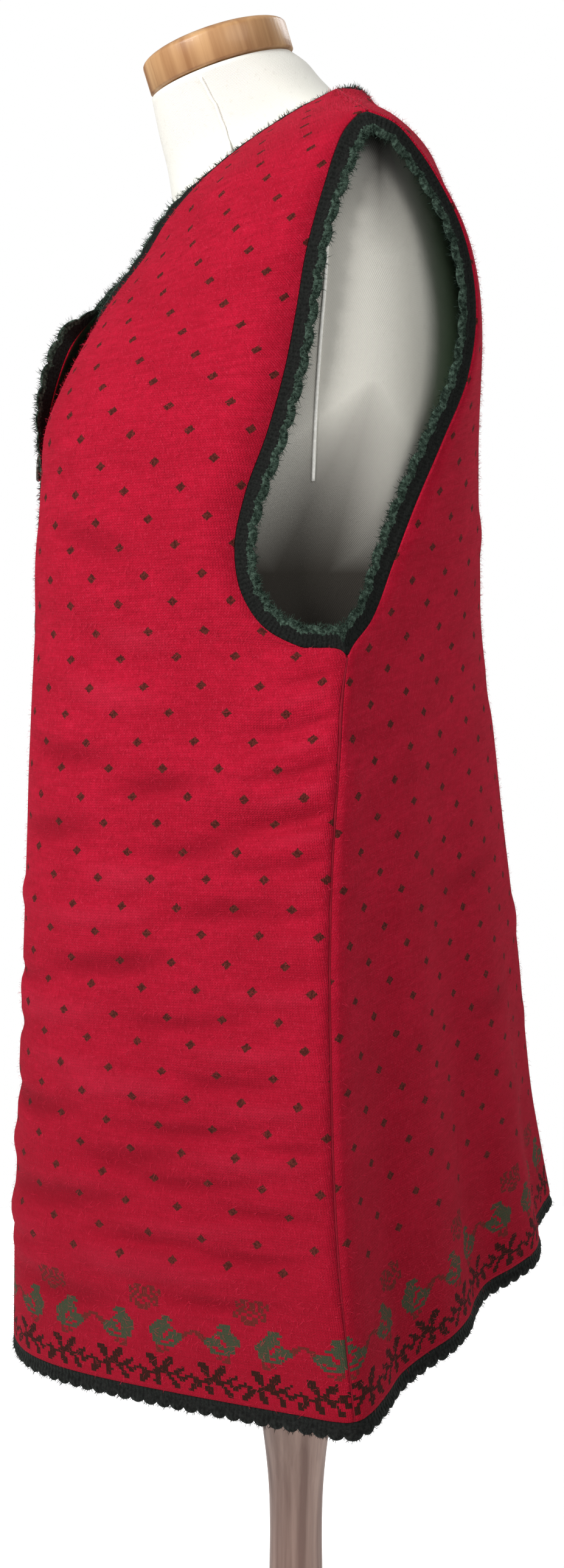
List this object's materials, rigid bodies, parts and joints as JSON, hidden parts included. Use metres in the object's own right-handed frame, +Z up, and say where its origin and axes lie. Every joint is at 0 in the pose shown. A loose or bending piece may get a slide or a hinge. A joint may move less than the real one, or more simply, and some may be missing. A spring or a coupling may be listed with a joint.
{
  "type": "sleeveless knitted cardigan on a limbless dress form",
  "caption": "Long sleeveless knitted cardigan with V neck, scalloped trims and a flared hem, worn by a limbless dress form on a turned pole and round base",
  "frame": {"origin": "the middle of the base's underside, on the floor and on the pole's axis", "axes": "+Z up along the pole, the wearer's front faces -Y, the wearer's left is +X"},
  "size_m": [0.4986, 0.3447, 1.0741],
  "materials": {
    "knit_red": "fine wool knit, matt with a soft fuzz",
    "trim_black_green": "knitted trim, black ribs and a dark green fuzzy edge",
    "trim_black": "black knitted trim",
    "form_jersey": "cream jersey stretched over a padded form",
    "cap_wood": "light brown wood, satin",
    "pole_wood": "greyish pink-brown wood, satin",
    "button_dark": "dark horn-like plastic"
  },
  "bodies": {
    "root": {"back": "knit_red", "front_left": "knit_red", "front_right": "knit_red", "armhole_trim_left": "trim_black_green", "armhole_trim_right": "trim_black_green", "front_trim_left": "trim_black_green", "front_trim_right": "trim_black_green", "neck_trim": "trim_black_green", "hem_trim": "trim_black", "button_1": "button_dark", "button_2": "button_dark", "button_3": "button_dark", "button_4": "button_dark", "button_5": "button_dark", "button_6": "button_dark", "form_body": "form_jersey", "neck_cap": "cap_wood", "pole": "pole_wood", "base": "pole_wood"}
  },
  "joints": []
}
